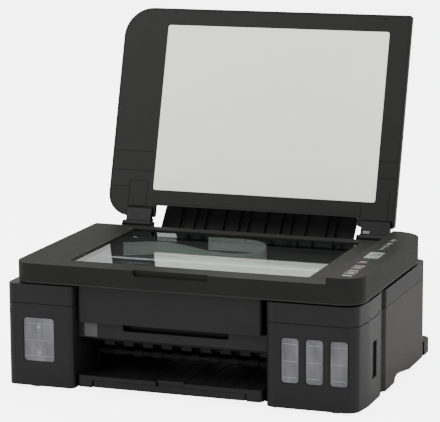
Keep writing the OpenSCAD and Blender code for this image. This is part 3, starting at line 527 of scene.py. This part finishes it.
def flat_cable():
    """The scan bar's flat cable, standing on its edge in one long loose loop."""
    path = [(-140, 175), (-110, 193), (-85, 195), (-50, 178), (-18, 160), (12, 154), (33, 162), (42, 182),
            (38, 214), (22, 236), (0, 245), (-50, 243)]
    low, high, half = 133.5, 150.0, 0.15
    curve = smooth_path(path)
    mesh = bmesh.new()
    rings = []
    for k, point in enumerate(curve):
        along = (curve[min(k + 1, len(curve) - 1)] - curve[max(k - 1, 0)]).normalized()
        across = Vector((-along.y, along.x)) * half
        corners = ((point - across, low), (point + across, low),
                   (point + across, high), (point - across, high))
        rings.append([mesh.verts.new((p.x * MM, FRONT + p.y * MM, z * MM)) for p, z in corners])
    for first, second in zip(rings, rings[1:]):
        for k in range(4):
            mesh.faces.new((first[k - 1], second[k - 1], second[k], first[k]))
    mesh.faces.new(rings[0])
    mesh.faces.new(list(reversed(rings[-1])))
    bmesh.ops.recalc_face_normals(mesh, faces=mesh.faces)
    cable = mesh_piece("flat_cable", mesh, "ribbon")
    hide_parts("scan_ribbon")
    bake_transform(cable)


# ---------- document cover ----------

def cover_details():
    """Joint lines, the pocket and the slits of the cover's inner face."""
    lines = [((-181.0, 194.6), (58.0, 0.7)), ((-181.0, 220.1), (58.0, 0.7)), ((-196.0, 242.1), (26.0, 0.7)),
             ((165.5, 192.1), (25.0, 0.7)), ((165.5, 213.1), (25.0, 0.7)),
             ((170.5, 246.6), (0.7, 35.0)), ((134.0, 257.1), (0.7, 16.0)),
             ((-141.0, 6.5), (5.0, 1.0)), ((146.0, 6.5), (5.0, 1.0))]
    shapes = [(rounded(width, height, 0.3), on_cover(x, y)) for (x, y), (width, height) in lines]
    pocket_x, pocket_y, pocket_w, pocket_h = -172.2, 250.6, 25.5, 33.0
    for dx, dy, width, height in ((0, 1, pocket_w, 0.7), (0, -1, pocket_w, 0.7), (1, 0, 0.7, pocket_h),
                                  (-1, 0, 0.7, pocket_h)):
        middle = on_cover(pocket_x + dx * pocket_w / 2, pocket_y + dy * pocket_h / 2)
        shapes.append((rounded(width, height, 0.3), middle))
    build("liner_joint_lines", shapes, 0.12, "groove", "document_cover")
    cap = (rounded(9.0, 3.4, 0.8), on_cover(146.0, 284.2, 149.8))
    build("hinge_spring_cap", [cap], 0.8, "grey_part", "document_cover", 0.3)


# ---------- back ----------

def back_screws():
    """Four cross-head screws of the rear cover, their cross slots painted near-black as shade, and a plain
    plate between the upper two.
    """
    heads, slot_shade = [], []
    for x in (-140.0, 140.0):
        for z in (30.0, 92.0):
            heads.append((disc(3.0), on("back", x, BACK_FACE, z)))
            slot_shade += [(outline, on("back", x, BACK_FACE + SCREW_HEAD, z))
                      for outline in (rounded(4.0, 0.8), rounded(0.8, 4.0))]
    build("back_screw_heads", heads, SCREW_HEAD, "steel", "base", 0.25)
    # Painted shade: thin near-black crosses on the heads stand for the shade in the slots
    build("back_screw_slot_shade", slot_shade, 0.05, "groove", "base")
    plate = (rounded(70.0, 14.0, 1.0), on("back", 0.0, BACK_FACE, 92.0))
    build("blank_back_plate", [plate], 0.15, "label", "base")


window_rims()
window_marks()
front_label()
panel_marks()
display_marks()
key_marks()
bezel_marks()
flat_cable()
cover_details()
back_screws()


# ---------- floor, light and camera ----------

WORLD_LIGHT = 0.98
BACKDROP_LIGHT = 6.0          # what the camera alone sees behind the object
FLOOR_GLOW = 5.0              # lifts the paper floor to near white, for the camera alone
FLOOR_SIZE = 30.0

# Name, place, point aimed at, size and power of each lamp, in metres and watts
LAMPS = (
    ("key_light", (-1.6, -1.7, 1.9), (0.0, 0.0, 0.15), (1.4, 1.4), 40.0),
    ("fill_light", (2.2, -1.4, 1.2), (0.0, 0.0, 0.12), (1.6, 1.6), 20.0),
    ("top_light", (0.0, 0.3, 2.4), (0.0, 0.0, 0.1), (2.0, 1.4), 32.0),
)

CAMERA_PLACE = (0.9242, -2.6351, 0.7202)
CAMERA_TURNS = (19.64, 10.63, -0.25)      # yaw, pitch and roll in degrees
LENS = 185.9
SENSOR = 36.0


def area_lamp(name, place, aim, size, power):
    light = bpy.data.lights.new(name, "AREA")
    light.shape = "RECTANGLE"
    light.size, light.size_y = size
    light.energy = power
    lamp = bpy.data.objects.new(name, light)
    bpy.context.scene.collection.objects.link(lamp)
    lamp.location = place
    lamp.rotation_euler = (Vector(aim) - Vector(place)).to_track_quat("-Z", "Y").to_euler()


def make_stage():
    """Paper floor, even sky light, a bright backdrop seen only by the camera, and the lamps."""
    bpy.ops.mesh.primitive_plane_add(size=FLOOR_SIZE)
    ground = bpy.context.object
    ground.name = "studio_floor"
    n = Nodes("floor_paper")
    seen = n.add("LightPath").outputs["Is Camera Ray"]
    glow = n.add("Math", {0: seen, 1: FLOOR_GLOW}, operation="MULTIPLY")
    n.set(Base_Color=n.mix(n.span(n.noise(3.0), 0.0, 1.0), rgb(0.86, 0.86, 0.86), rgb(0.88, 0.88, 0.88)),
          Roughness=0.6, Specular_IOR_Level=0.2,
          Emission_Color=rgb(1.0, 1.0, 1.0), Emission_Strength=glow.outputs[0])
    ground.data.materials.append(n.material)

    world = bpy.data.worlds.new("studio")
    bpy.context.scene.world = world
    world.use_nodes = True
    sky = world.node_tree.nodes["Background"]
    sky.inputs[0].default_value = (1.0, 0.99, 0.975, 1.0)
    sky.inputs[1].default_value = WORLD_LIGHT
    backdrop = world.node_tree.nodes.new("ShaderNodeBackground")
    backdrop.inputs[0].default_value = (1.0, 1.0, 1.0, 1.0)
    backdrop.inputs[1].default_value = BACKDROP_LIGHT
    path = world.node_tree.nodes.new("ShaderNodeLightPath")
    both = world.node_tree.nodes.new("ShaderNodeMixShader")
    link = world.node_tree.links.new
    link(path.outputs["Is Camera Ray"], both.inputs[0])
    link(sky.outputs[0], both.inputs[1])
    link(backdrop.outputs[0], both.inputs[2])
    link(both.outputs[0], world.node_tree.nodes["World Output"].inputs[0])
    for lamp in LAMPS:
        area_lamp(*lamp)


def make_camera():
    """Seen from the front right and a little above, as far back as a product photographer stands."""
    data = bpy.data.cameras.new("camera")
    data.lens = LENS
    data.sensor_width = SENSOR
    camera = bpy.data.objects.new("camera", data)
    bpy.context.scene.collection.objects.link(camera)
    yaw, pitch, roll = (math.radians(angle) for angle in CAMERA_TURNS)
    camera.location = CAMERA_PLACE
    forward = Vector((-math.sin(yaw) * math.cos(pitch), math.cos(yaw) * math.cos(pitch),
                      -math.sin(pitch)))
    right = forward.cross(Vector((0, 0, 1))).normalized()
    up = right.cross(forward)
    tilted = right * math.cos(roll) + up * math.sin(roll)
    up = up * math.cos(roll) - right * math.sin(roll)
    camera.rotation_euler = Matrix((tilted, up, -forward)).transposed().to_euler()
    bpy.context.scene.camera = camera


make_stage()
make_camera()
